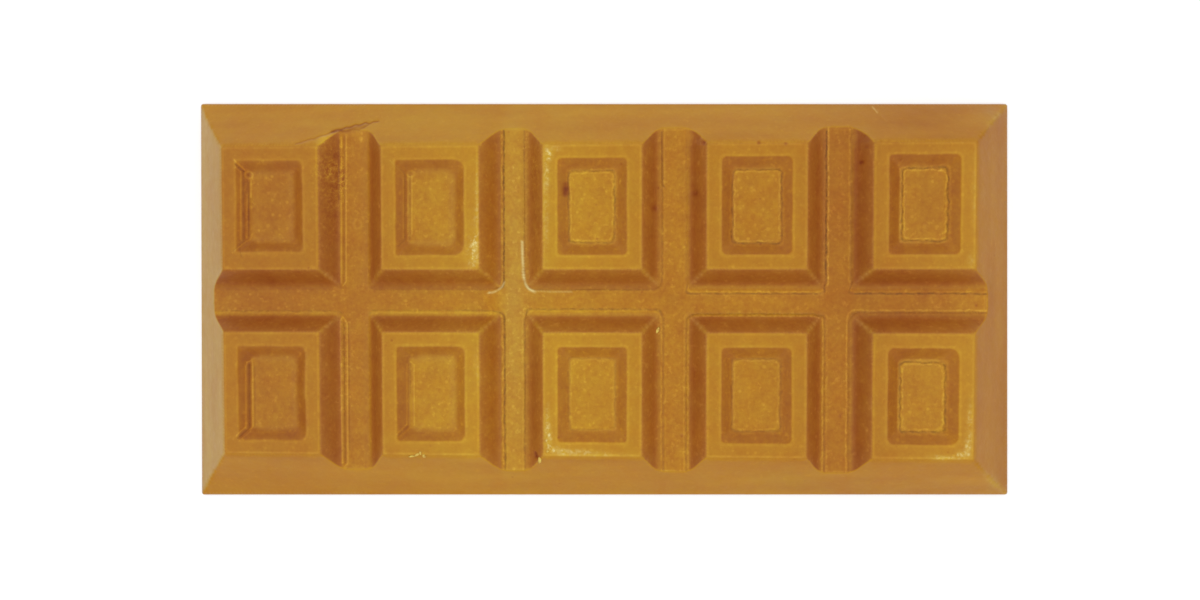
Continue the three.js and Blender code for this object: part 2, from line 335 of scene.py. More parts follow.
# Small round marks: place, radius, relief and change of lightness
MARKS = (
    (-63, 23.05, 0.26, -0.12, -0.12), (-33.1, 23.1, 0.26, -0.1, -0.08),
    (20.05, 28.33, 0.42, -0.3, -0.35), (-4.75, 20.2, 0.6, -0.06, -0.52),
    (-4.9, 19.3, 0.5, -0.05, -0.38), (-4.7, 21.1, 0.4, -0.05, -0.25),
    (11.19, 16.76, 0.5, -0.08, -0.28), (18.64, 19.42, 0.55, -0.08, -0.28),
    (48.11, 24.8, 0.36, -0.1, -0.3), (48.8, 27.4, 0.3, -0.06, -0.12),
    (15.46, 19.21, 0.26, 0.04, 0.14), (14.74, 17.58, 0.24, 0.04, 0.16),
    (13.3, 9.41, 0.34, 0.05, 0.14), (16.27, -24.78, 0.3, -0.1, -0.16),
    (15.36, -26.63, 0.26, 0.03, 0.14), (45.03, -20.92, 0.28, -0.06, -0.1),
    (29.68, 28.2, 0.34, -0.16, -0.34), (34.42, 28, 0.28, -0.1, -0.26),
    (54.72, 24.93, 0.2, -0.06, -0.14), (5.91, -25.21, 0.22, -0.06, -0.12),
    (-8.56, -25.29, 0.34, -0.18, -0.2), (-10.31, -28.4, 0.42, -0.35, -0.45),
    (-10.45, -27.8, 0.3, -0.2, -0.35), (28.48, 20.27, 0.3, 0.04, 0.16),
    (26.64, 16.69, 0.3, 0.04, 0.14), (30.72, 18.26, 0.22, 0.03, 0.16),
    (30, 18.3, 0.2, -0.05, -0.12), (30.34, 15.35, 0.26, 0.03, 0.1), (59.02, 13.34, 0.4, 0.05, 0.14),
    (1.28, 13.04, 0.3, 0.05, 0.17), (0.86, 11.18, 0.24, -0.08, -0.2),
    (5.16, 24.56, 0.24, -0.08, -0.16), (-31.04, -22.86, 0.42, 0.06, 0.14),
    (0.65, 17.31, 0.2, -0.05, -0.1), (69.07, -0.83, 0.24, -0.08, -0.16),
    (49.3, -17.9, 0.7, 0.12, 0.05), (-29.5, -26.4, 0.2, -0.05, -0.1),
)

# Patches that are lighter or darker than the rest: place, reach along X and Y, and change of tone
TONE_PATCHES = (
    (60, 33, 13, 5, -0.14), (-67, 18, 3, 12, -0.05), (-14.7, 14, 2.4, 22, 0.02),
    (43.9, 16, 2.6, 14, -0.04), (61, 18, 3, 7, -0.05), (-60, 0, 8, 3, -0.04), (30, 1, 60, 3, -0.02),
    (-39.2, 17, 1.9, 12, -0.04), (-39.2, -17, 1.9, 12, -0.03), (-48.4, 17, 1.6, 12, 0.03),
    (-10, 17, 2, 12, -0.085), (-10, -17, 2, 12, -0.085), (-19.2, 0, 1.8, 40, -0.04),
    (15.9, 17, 1.3, 12, 0.03), (44.1, -17, 2.2, 12, 0.04), (48.8, -17, 2, 12, 0.05),
    (59, 0, 9, 5.5, -0.085), (29.4, 0, 8, 5.5, 0.045), (-58.4, 17.3, 3.6, 5.5, -0.06),
    (-58.8, 25, 7, 1, 0.04), (-58.8, 9.9, 7, 0.9, 0.06), (-24.2, 17, 1.2, 8, -0.05),
    (34.6, 17, 1.2, 7, 0.06), (-48.3, 23.6, 1.5, 2.4, 0.05), (-48.4, -17, 1.6, 12, 0.05),
    (-60, 33, 14, 4, 0.03), (-64.6, 17, 0.9, 8, 0.05), (-5, 12, 1, 5, -0.04),
    (-49.2, 29.2, 1.1, 1.6, 0.16), (-49.9, 26.5, 0.5, 2.5, 0.08), (-61.5, 24.9, 2.5, 0.9, 0.06),
    (58.8, 17, 5.5, 8.5, -0.045), (53.6, 17.3, 0.8, 7, -0.04), (-29.4, 25, 5, 1, -0.04),
    (-5.2, 17, 0.8, 6.5, -0.04), (29.4, 25.2, 5, 1, 0.03), (15, 17, 1.6, 12, 0.02),
    (-58.8, -17, 5, 7, -0.03),
)

# Patches that are more yellow than the rest: place, reach along X and Y, and how much more green and blue
YELLOW_PATCHES = (
    (-14.7, 14, 2.6, 22, 0.08, 0.7), (-14.7, -14, 2.6, 22, 0.08, 0.6), (-18, 0, 20, 40, 0.05, 0.1),
    (-8.2, 18, 2, 9, 0.06, 0.12), (36, -33.5, 7, 2.5, 0.1, 0.2), (-36, 33, 12, 4, 0.05, 0.1),
    (73.4, -34.2, 1, 2.6, 0.12, 3), (72.6, 34.6, 1.4, 1.4, 0.1, 3), (60, 33, 10, 4, -0.02, -0.8),
    (-18.6, 0, 1.7, 40, -0.07, -0.5), (48.8, 0, 1.7, 40, 0.06, 0),
)

# Pale worn patches along the rims: place, reach along X and Y, and amount
WORN_PATCHES = (
    (-21.15, 9.9, 0.35, 1.1, 1.1), (-21.25, 7.3, 0.35, 0.8, 0.9), (-21.6, 8.4, 1.1, 4.2, 0.6),
    (-20.85, 13, 0.4, 5.5, 0.5), (-20.75, 21, 0.3, 5, 0.42), (-7.75, 26.3, 0.6, 1, 1.2),
    (-8.2, 23, 0.4, 4, 0.75), (-8.3, 15, 0.45, 8, 0.45), (-6.4, 27.4, 1.1, 0.4, 0.6),
    (-7.9, -25, 0.45, 1.6, 1.15), (-8.1, -22.5, 0.45, 3.4, 0.7), (-7, -26.9, 0.7, 0.7, 0.8),
    (-5.2, -27.35, 1.4, 0.55, 1.1), (-1.5, -27.4, 3, 0.6, 0.65), (3, -27.7, 3, 0.4, 0.45),
    (66.7, -25.9, 0.5, 1.4, 1), (65.6, -27.2, 1, 0.6, 1), (62.6, -27.8, 2.2, 0.45, 0.85),
    (67, -21.5, 0.5, 3.5, 0.6), (66.9, 7, 0.6, 1.2, 0.35), (67.3, 18, 0.35, 8, 0.25),
    (-21, -12, 0.7, 3.4, 0.32),
)

# Whitish lines where the mould's seam rubbed: half width, amount, and the places it runs through
WORN_LINES = (
    (0.2, 1, ((-13.05, 10.8), (-12.95, 6.6), (-12.8, 4.4), (-12.4, 2.9), (-11.8, 2.1), (-10.9, 1.65))),
    (0.16, 0.75, ((-19.4, 1.4), (-18.4, 1.5), (-17.5, 1.95), (-16.7, 2.6), (-16.4, 3.3))),
    (0.14, 0.5, ((51.5, 36), (51.8, 35.3), (52.05, 34.5))),
    (0.1, 0.4, ((-4, 1.62), (-8, 1.62), (-10.9, 1.75))),
)

# Patches with veins: place, reach along X and Y, and amount
VEINED_PATCHES = (
    (-48.2, 23.5, 1.8, 5.5, 1.2), (-46.3, 22.5, 0.9, 4.5, 0.9), (-48, 14, 1.6, 5, 0.45),
    (-10.6, 24, 1.3, 4.5, 0.6), (-10, 12, 1, 8, 0.35), (-63.5, 17, 1.2, 8, 0.4),
    (-46.3, -9, 0.8, 6, 0.7),
)

# Crumbs: place, half sizes, turn in degrees
CRUMBS = (
    (11.75, -5.41, 6.52, 0.3, 0.62, 0.24, -28), (-33, -28.35, 9.5, 0.55, 0.16, 0.14, 8),
    (-32, -28.05, 9.56, 0.5, 0.2, 0.16, 30), (-31.35, -27.7, 9.6, 0.2, 0.34, 0.16, 10),
    (-30.7, -28.25, 9.54, 0.34, 0.26, 0.18, -40), (-9.6, -28.95, 8.75, 0.32, 0.62, 0.24, -6),
    (-8.1, -27.2, 9.6, 0.24, 0.18, 0.12, 20),
)

CRUMB_SIDES = 14
CRUMB_LEVELS = 7

# The floor, and the studio light: a ring of soft lights above the bar and an even fill from all round
FLOOR_HALF = 3000
RING_LIGHTS = 8
RING_RADIUS = 700
RING_HEIGHT = 750
RING_LIGHT_SIZE = 700
RING_LIGHT_POWER = 1.32
FILL_LIGHT = 0.5

# The camera, from the perspective of the bar's own edges
CAMERA_PLACE = (9.92, 5.18, 184.3)
CAMERA_TILT = (0.0285, -0.0486, -0.0008)
FOCAL_PIXELS = 974.1
IMAGE_WIDTH = 1200
SENSOR_WIDTH = 36.0


def centred(i, count, pitch):
    """The place of item i of count items in a centred row."""
    return (i - (count - 1) / 2) * pitch


def soft_ramp(x, softness):
    """The larger of x and 0, with the corner rounded over softness either way."""
    rounded = (x + softness) ** 2 / (4 * softness)
    return np.where(np.abs(x) < softness, rounded, np.maximum(x, 0))


def soft_step(x, width):
    """0 to 1 as x goes from -width to width."""
    t = np.clip(x / (2 * width) + 0.5, 0, 1)
    return t * t * (3 - 2 * t)


def bell(x, width):
    """1 where x is 0, falling to nothing either side."""
    return np.exp(-(x / width) ** 2)


def ring_distance(out_x, out_y, radius):
    """Distance out of a rectangle with round corners, in rings that all have the same corner radius."""
    near_x = out_x + radius
    near_y = out_y + radius
    gap = np.abs(near_x - near_y)
    corner = (near_x + near_y - np.sqrt(np.maximum(2 * radius**2 - gap**2, 0))) / 2
    return np.where(gap < radius, corner, np.maximum(near_x, near_y) - radius)


def soft_noise(x, y, cell, seed):
    """Smooth noise from -1 to 1 with features about one cell wide."""
    table = np.random.default_rng(seed).uniform(-1, 1, (256, 256))
    u = x / cell + 128
    v = y / cell + 128
    column = np.floor(u).astype(int)
    row = np.floor(v).astype(int)
    across = (u - column) ** 2 * (3 - 2 * (u - column))
    up = (v - row) ** 2 * (3 - 2 * (v - row))

    def at(i, j):
        return table[(column + i) % 256, (row + j) % 256]

    lower = at(0, 0) * (1 - across) + at(1, 0) * across
    upper = at(0, 1) * (1 - across) + at(1, 1) * across
    return lower * (1 - up) + upper * up


def line_distance(x, y, points):
    """Distance to a line through some places."""
    nearest = np.full(len(x), NOWHERE)
    for (ax, ay), (bx, by) in zip(points, points[1:]):
        dx = bx - ax
        dy = by - ay
        t = np.clip(((x - ax) * dx + (y - ay) * dy) / (dx * dx + dy * dy), 0, 1)
        nearest = np.minimum(nearest, np.hypot(x - ax - t * dx, y - ay - t * dy))
    return nearest


def by_side(sides, on_right, at_far):
    """The values along X and Y at each point, from those for the left, right, near and far side."""
    return np.where(on_right, sides[:, 1], sides[:, 0]), np.where(at_far, sides[:, 3], sides[:, 2])


class Places:
    """Where points of the plan lie: the distances from every outline that the bar's shape is made of."""

    def __init__(self, x, y):
        self.x = x
        self.y = y
        self.column = np.clip(np.round(x / COLUMN_PITCH + (COLUMNS - 1) / 2), 0, COLUMNS - 1).astype(int)
        self.row = np.clip(np.round(y / ROW_PITCH + (ROWS - 1) / 2), 0, ROWS - 1).astype(int)
        self.local_x = x - centred(self.column, COLUMNS, COLUMN_PITCH)
        self.local_y = y - centred(self.row, ROWS, ROW_PITCH)
        on_right = self.local_x > 0
        out_x = np.abs(self.local_x)
        out_y = np.abs(self.local_y)
        end_x = ((self.column == 0) & ~on_right) | ((self.column == COLUMNS - 1) & on_right)
        end_y = ((self.row == 0) & (self.local_y < 0)) | ((self.row == ROWS - 1) & (self.local_y > 0))
        self.past_x = np.abs(x) - TOP_HALF_LENGTH
        self.past_y = np.abs(y) - TOP_HALF_WIDTH
        self.side = ring_distance(self.past_x, self.past_y, BAR_CORNER)
        self.block = ring_distance(out_x - BLOCK_HALF_X, out_y - BLOCK_HALF_Y, BLOCK_CORNER)
        far_right = ~on_right & (y > 0) & (x > 0)
        flare = np.where(far_right, FAR_FLARE, FLARE) * bell(self.side - 1.5, 1.2)
        away_x = out_x - BLOCK_HALF_X
        away_x = away_x * np.where((self.column == 1) & on_right & (away_x > 0), LONG_WALL, 1.0)

        def in_grooves(past_x, past_y, radius):
            past_x = np.where(end_x, FAR_INSIDE, past_x)
            return ring_distance(past_x, np.where(end_y, FAR_INSIDE, past_y), radius)

        self.groove = flare + in_grooves(away_x, out_y - BLOCK_HALF_Y, BLOCK_CORNER)
        self.channel = in_grooves(out_x - PLINTH_HALF_X, out_y - PLINTH_HALF_Y, CHANNEL_CORNER)
        across = soft_step(out_x - PLINTH_HALF_X - out_y + PLINTH_HALF_Y, 0.8)[:, None]
        edges = np.array(CHANNEL_EDGES)[self.column, self.row]
        ends = edges[:, 2] * (1 - (end_x | end_y) * (out_y > PLINTH_HALF_Y + SHELF_END))[:, None]
        edges = ends + across * (np.where(on_right[:, None], edges[:, 1], edges[:, 0]) - ends)
        self.channel = self.channel - edges[:, 0]
        self.shelf, self.outer_line, self.dark_line, self.inner_line = edges[:, 1:].T
        corner = np.array(PANEL_CORNERS)[self.column, self.row, on_right.astype(int)]
        wander = np.array(PANEL_WANDER)[self.column] * soft_noise(x, y, 3.3, 31)
        shift_x, shift_y = by_side(PANEL_SHIFTS[self.column, self.row], on_right, self.local_y > 0)
        self.panel = wander + ring_distance(
            out_x - PANEL_HALF_X - shift_x, out_y - PANEL_HALF_Y - shift_y, corner
        )
        feet = np.array(PANEL_FEET)[self.column]
        self.panel_foot = feet[:, 0] + (feet[:, 1] - feet[:, 0]) * soft_step(self.local_x + 3.2, 1.2)
        self.crisp = (self.column < 2) & on_right & (across[:, 0] > 0.5)
        self.groove_foot = np.where(self.crisp, CRISP_FOOT_SOFTNESS, FOOT_SOFTNESS)
        self.seam = soft_step(x - SEAM_START, SEAM_REACH)
        lined = np.maximum(self.column - FIRST_LINED_COLUMN, 0)
        line = np.array(FLOOR_LINES)[lined, self.row]
        inset_x, inset_y = by_side(line, on_right, self.local_y > 0)
        self.floor_line = ring_distance(
            out_x - PANEL_HALF_X + inset_x, out_y - PANEL_HALF_Y + inset_y, FLOOR_LINE_CORNER
        )
        self.line_share = np.where(self.column < FIRST_LINED_COLUMN, 0.0, line[:, 4])


def groove_drop(at):
    """How far the grooves lie below the block tops."""
    t = np.maximum(at.groove, -1.0) / GROOVE_RUN
    belly = WALL_BELLY * np.sin(2 * math.pi * np.clip(t, 0, 1)) / (2 * math.pi)
    wall = soft_ramp(GROOVE_DEPTH * (t - belly), EDGE_SOFTNESS)
    drop = GROOVE_DEPTH - soft_ramp(GROOVE_DEPTH - wall, at.groove_foot)
    step = at.seam * soft_step(at.channel, 0.1) + (1 - at.seam) * soft_step(at.channel, 1.2)
    lines = bell(at.channel, LINE_HALF_WIDTH) - bell(at.channel - CHANNEL_LINE_GAP, LINE_HALF_WIDTH)
    return drop + CHANNEL_DEPTH * step + CHANNEL_LINE_RELIEF * at.seam * lines


def side_drop(at):
    return soft_ramp(at.side * SIDE_SLOPE, SIDE_SOFTNESS)


def panel_drop(at):
    """How far the sunken panels lie below the rims, with the fine line round each floor."""
    wall = soft_ramp(-at.panel * PANEL_SLOPE, PANEL_EDGE_SOFTNESS)
    drop = PANEL_DEPTH - soft_ramp(PANEL_DEPTH - wall, at.panel_foot)
    lines = bell(at.floor_line - FLOOR_LINE_GAP, LINE_HALF_WIDTH) - bell(at.floor_line, LINE_HALF_WIDTH)
    return drop + FLOOR_LINE_RELIEF * at.line_share * lines


def unevenness(x, y):
    """The slight waviness of a cast surface."""
    return sum(height * soft_noise(x, y, cell, seed) for height, cell, seed in WAVES)


def along(at, points, width):
    """1 on a line through some places, falling to nothing either side."""
    return bell(line_distance(at.x, at.y, points), width)


def around(at, x, y, radius, width):
    """1 on a circle, falling to nothing either side."""
    return bell(np.hypot(at.x - x, at.y - y) - radius, width)


def small_relief(at):
    """The height that hairlines, blemishes and small marks add."""
    relief = np.zeros(len(at.x))
    for (_, width, height), points in HAIRLINES + BLEMISH_LINES:
        relief += height * along(at, points, width)
    for x, y, radius, height, _ in MARKS:
        relief += height * around(at, x, y, 0, radius)
    for *place, height, _ in RINGS:
        relief += height * around(at, *place)
    return relief


def surface_height(at):
    """The height of the moulded side over the floor."""
    groove = groove_drop(at)
    side = side_drop(at)
    softness = np.minimum(RIDGE_SOFTNESS, (groove + side) / 3) + 1e-9
    larger = side + soft_ramp(groove - side, softness)
    drop = larger + panel_drop(at)
    fade = np.clip(BAR_HEIGHT - drop - LIP_HEIGHT, 0, 1)
    height = BAR_HEIGHT - drop + fade * (unevenness(at.x, at.y) - SURFACE_DROP + small_relief(at))
    return np.clip(height, LIP_HEIGHT, BAR_HEIGHT + SURFACE_LIMIT)


CORNERS = ((1, 1), (-1, 1), (-1, -1), (1, -1))


def ring(half_x, half_y, radii, offsets):
    """Rings round a rectangle with round corners, one for each offset, with points that line up."""
    rings = []
    for offset in offsets:
        arcs = []
        for turn, (sign_x, sign_y) in enumerate(CORNERS):
            radius = radii[turn]
            steps = max(round(radius * math.pi / 2 / (SPACING * 0.6)), 3)
            centre = np.array((sign_x * (half_x + offset - radius), sign_y * (half_y + offset - radius)))
            angles = (turn + np.arange(steps + 1) / steps) * math.pi / 2
            arcs.append(centre + radius * np.stack((np.cos(angles), np.sin(angles)), 1))
        points = []
        for turn, arc in enumerate(arcs):
            start = arc[-1]
            end = arcs[(turn + 1) % 4][0]
            full = half_x if turn % 2 == 0 else half_y
            steps = max(round(2 * full / SPACING), 2)
            points.append(arc)
            points.append(start + np.arange(1, steps)[:, None] / steps * (end - start))
        rings.append(np.concatenate(points))
    return rings


def block_rows():
    """Points in rows along every edge, wall, foot and hairline of every block."""
    corner = (BLOCK_CORNER,) * 4
    round_block = np.concatenate(ring(BLOCK_HALF_X, BLOCK_HALF_Y, corner, EDGE_ROWS + WALL_ROWS))
    in_grooves = np.concatenate(
        ring(BLOCK_HALF_X, BLOCK_HALF_Y, corner, FOOT_ROWS)
        + ring(PLINTH_HALF_X, PLINTH_HALF_Y, (CHANNEL_CORNER,) * 4, CHANNEL_ROWS)
    )
    points = []
    for column in range(COLUMNS):
        for row in range(ROWS):
            centre = np.array((centred(column, COLUMNS, COLUMN_PITCH), centred(row, ROWS, ROW_PITCH)))
            at_left, at_right = PANEL_CORNERS[column][row]
            left, right, near, far = PANEL_SHIFTS[column][row]
            half_x = PANEL_HALF_X + (left + right) / 2
            half_y = PANEL_HALF_Y + (near + far) / 2
            panel = ring(half_x, half_y, (at_right, at_left, at_left, at_right), PANEL_ROWS)
            points.append(round_block + centre)
            points.append(np.concatenate(panel) + centre + np.array(((right - left) / 2, (far - near) / 2)))
            floor = in_grooves + centre
            points.append(floor[Places(*floor.T).side < SIDE_ROWS[3] - 0.05])
    return np.concatenate(points)


def mark_points():
    """Points along the hairlines and blemishes and round the small marks, fine enough to hold them."""
    points = []
    for (_, width, _), line in HAIRLINES + BLEMISH_LINES:
        for (ax, ay), (bx, by) in zip(line, line[1:]):
            length = math.hypot(bx - ax, by - ay)
            across = np.array((ay - by, bx - ax)) / length
            steps = np.arange(0, 1, MARK_SPACING / length)[:, None]
            middle = np.array((ax, ay)) + steps * np.array((bx - ax, by - ay))
            for shift in (-1.6, -0.8, 0.0, 0.8, 1.6):
                points.append(middle + across * shift * width)
    for x, y, radius in [mark[:3] for mark in MARKS + RINGS]:
        for share, count in ((0.0, 1), (0.5, 6), (0.8, 8), (1.0, 12), (1.25, 14), (1.6, 14)):
            angles = np.arange(count) / count * 2 * math.pi
            points.append(np.array((x, y)) + share * radius * np.stack((np.cos(angles), np.sin(angles)), 1))
    return np.concatenate(points)


def ridge_gap(places):
    """How far places lie from the line where the grooves run out through the sides, and the way from it."""
    step = 0.01
    steps = ((0, 0), (step, 0), (0, step))
    gaps = []
    for shift in steps:
        at = Places(*(places + shift).T)
        gaps.append(groove_drop(at) - side_drop(at))
    slope = np.stack((gaps[1] - gaps[0], gaps[2] - gaps[0]), 1) / step
    steepness = np.maximum(np.hypot(*slope.T), 0.2)
    return gaps[0] / steepness, slope / steepness[:, None]


def by_ridge(places, reach):
    side = Places(*places.T).side
    return (np.abs(ridge_gap(places)[0]) < reach) & (side > RIDGE_START) & (side < RIDGE_END)


def ridge_points():
    """Points in rows along the line where the grooves run out through the sloping sides."""
    step = 0.25
    x, y = np.meshgrid(np.arange(-HALF_LENGTH, HALF_LENGTH, step), np.arange(-HALF_WIDTH, HALF_WIDTH, step))
    points = np.stack((x.ravel(), y.ravel()), 1)
    points = points[by_ridge(points, 0.4)]
    for _ in range(4):
        gap, way = ridge_gap(points)
        points = points - gap[:, None] * way
    points = thinned(points, RIDGE_SPACING)
    _, way = ridge_gap(points)
    return np.concatenate([points + shift * way for shift in (0.0, -0.14, 0.14, -0.3, 0.3)])


def staggered(spacing):
    """A staggered grid of points over the whole plan."""
    x, y = np.meshgrid(
        np.arange(-HALF_LENGTH, HALF_LENGTH, spacing),
        np.arange(-HALF_WIDTH, HALF_WIDTH, spacing * math.sqrt(3) / 2),
    )
    x = x + (np.arange(len(x)) % 2)[:, None] * spacing / 2
    return np.column_stack((x.ravel(), y.ravel()))


def fill_points():
    """Points over the rest of the plan, clear of all rows."""
    points = staggered(SPACING)
    at = Places(*points.T)
    keep = at.side < SIDE_RUN - SPACING * 0.5
    for distance, rows in (
        (at.block, EDGE_ROWS + WALL_ROWS),
        (at.groove, FOOT_ROWS),
        (at.channel, CHANNEL_ROWS),
        (at.panel, PANEL_ROWS),
        (at.side, SIDE_ROWS),
    ):
        for row in rows:
            keep &= np.abs(distance - row) > SPACING * 0.45
    return points[keep]


def thinned(points, cell):
    """The points with at most one in each cell of a fine grid, the earlier ones kept."""
    keys = np.round(points / cell).astype(np.int64)
    _, first = np.unique(keys, axis=0, return_index=True)
    return points[np.sort(first)]


def triangulated(points):
    """The triangles between the points of a plan, counter-clockwise from above."""
    result = delaunay_2d_cdt([Vector(p) for p in points.tolist()], [], [], 0, 1e-7)
    given = np.array([sources[0] for sources in result[3]])
    triangles = given[np.array(result[2], dtype=np.int64)]
    a, b, c = (points[triangles[:, i]] for i in range(3))
    area = (b[:, 0] - a[:, 0]) * (c[:, 1] - a[:, 1]) - (b[:, 1] - a[:, 1]) * (c[:, 0] - a[:, 0])
    triangles[area < 0] = triangles[area < 0][:, ::-1]
    return triangles[np.abs(area) > 1e-7]


def band(upper, lower):
    """Faces between two closed rows of vertices that run counter-clockwise, facing outwards."""
    faces = []
    for i in range(len(upper)):
        j = (i + 1) % len(upper)
        faces.append((int(upper[i]), int(lower[i]), int(lower[j]), int(upper[j])))
    return faces


def back_height(places):
    """The back is flat where it was poured, with a faint waviness that stays clear of the floor."""
    at = Places(*places.T)
    fade = np.clip((SIDE_RUN - at.side) / BACK_WAVE_FADE, 0, 1)
    return fade * BACK_WAVE * (1 + soft_noise(at.x, at.y, BACK_WAVE_SIZE, 21))


def outline_ring(offset):
    return ring(TOP_HALF_LENGTH, TOP_HALF_WIDTH, (BAR_CORNER,) * 4, (offset,))[0]


class BarShape:
    """The bar's vertices and faces: the moulded side, then the lip round it, then the back."""

    def __init__(self):
        outline = outline_ring(SIDE_RUN)
        side_rows = np.concatenate([outline_ring(row) for row in SIDE_ROWS[:-1]])
        others = np.concatenate((side_rows, block_rows(), fill_points()))
        others = others[~by_ridge(others, RIDGE_REACH)]
        inner = thinned(np.concatenate((mark_points(), ridge_points(), others)), LEAST_SPACING)
        inner = inner[Places(*inner.T).side < SIDE_RUN - LEAST_SPACING]
        plan = np.concatenate((outline, inner))
        top = np.column_stack((plan, surface_height(Places(*plan.T))))
        vertices = [top]
        faces = triangulated(plan).tolist()
        self.on_top = len(top)
        self.unrolled = [plan]

        upper = np.arange(len(outline))
        count = len(top)
        for inset, height in LIP_ROWS:
            places = outline_ring(SIDE_RUN - inset)
            self.unrolled.append(outline_ring(SIDE_RUN + LIP_HEIGHT - height + inset))
            if height > 0:
                vertices.append(np.column_stack((places, np.full(len(places), height))))
            lower = np.arange(len(places)) + count
            faces += band(upper, lower)
            upper = lower
            count += len(places) if height > 0 else 0
        self.front_faces = len(faces)

        inside = staggered(BACK_SPACING)
        inside = inside[Places(*inside.T).side < SIDE_RUN - BACK_SPACING]
        back = np.concatenate((places, inside))
        vertices.append(np.column_stack((back, back_height(back))))
        faces += (triangulated(back)[:, ::-1] + count).tolist()
        self.unrolled.append(inside)
        self.vertices = np.concatenate(vertices)
        self.faces = faces


def outline_shift(x, y):
    """How far the uneven outline draws each point of the plan along X and Y. The block tops stay in place."""
    share = np.clip(Places(x, y).side / SIDE_RUN, 0, 1) ** 2
    right = 0.5 + x / (2 * HALF_LENGTH)
    far = 0.5 + y / (2 * HALF_WIDTH)
    shift = np.outer((1 - right) * far, FAR_LEFT_SHIFT) + np.outer((1 - right) * (1 - far), NEAR_LEFT_SHIFT)
    shift += np.outer(right * far, FAR_RIGHT_SHIFT) + np.outer(right * (1 - far), NEAR_RIGHT_SHIFT)
    return share[:, None] * shift


def new_mesh_object(name, vertices, faces):
    mesh = bpy.data.meshes.new(name)
    mesh.from_pydata((np.asarray(vertices) * MM).tolist(), [], faces)
    mesh.update()
    mesh.polygons.foreach_set("use_smooth", np.ones(len(mesh.polygons), bool))
    made = bpy.data.objects.new(name, mesh)
    bpy.context.scene.collection.objects.link(made)
    return made


def add_unrolling(mesh, shape):
    """A flat map of the bar: the moulded side and its lip in the upper half, the back in the lower half."""
    places = np.concatenate(shape.unrolled)
    corners = np.zeros(len(mesh.loops), np.int32)
    mesh.loops.foreach_get("vertex_index", corners)
    first_back_corner = mesh.polygons[shape.front_faces].loop_start
    on_back = np.arange(len(corners)) >= first_back_corner
    reach_x = HALF_LENGTH + 1.0
    reach_y = HALF_WIDTH + 1.0
    u = 0.5 + places[corners, 0] / (2.0 * reach_x)
    v = 0.25 + places[corners, 1] / (4.0 * reach_y)
    layer = mesh.uv_layers.new(name="OFBake")
    layer.data.foreach_set("uv", np.stack((u, np.where(on_back, v, v + 0.5)), 1).ravel().astype(np.float32))


def blend(under, over, share):
    """Colours with another colour laid over them by a share for each point."""
    return under + share[:, None] * (np.array(over) - under)


def broad_tone(at):
    """How light the bar is painted along its length, partly its own tone and partly a painted broad
    highlight.
    """
    tone = np.full(len(at.x), USUAL_TONE)
    for middle, width, amount in TONE_BANDS:
        tone += amount * bell(at.x - middle, width)
    return tone + 0.015 * soft_noise(at.x, at.y, 9.0, 41) - 0.012 * np.tanh(at.y / 10)


def soft_patch(at, x, y, reach_x, reach_y):
    return bell(at.x - x, reach_x) * bell(at.y - y, reach_y)


def patched(at, patches):
    """The sum of soft patches, each with its place, its reach along X and Y and its amount."""
    return sum(amount * soft_patch(at, *patch) for *patch, amount in patches)


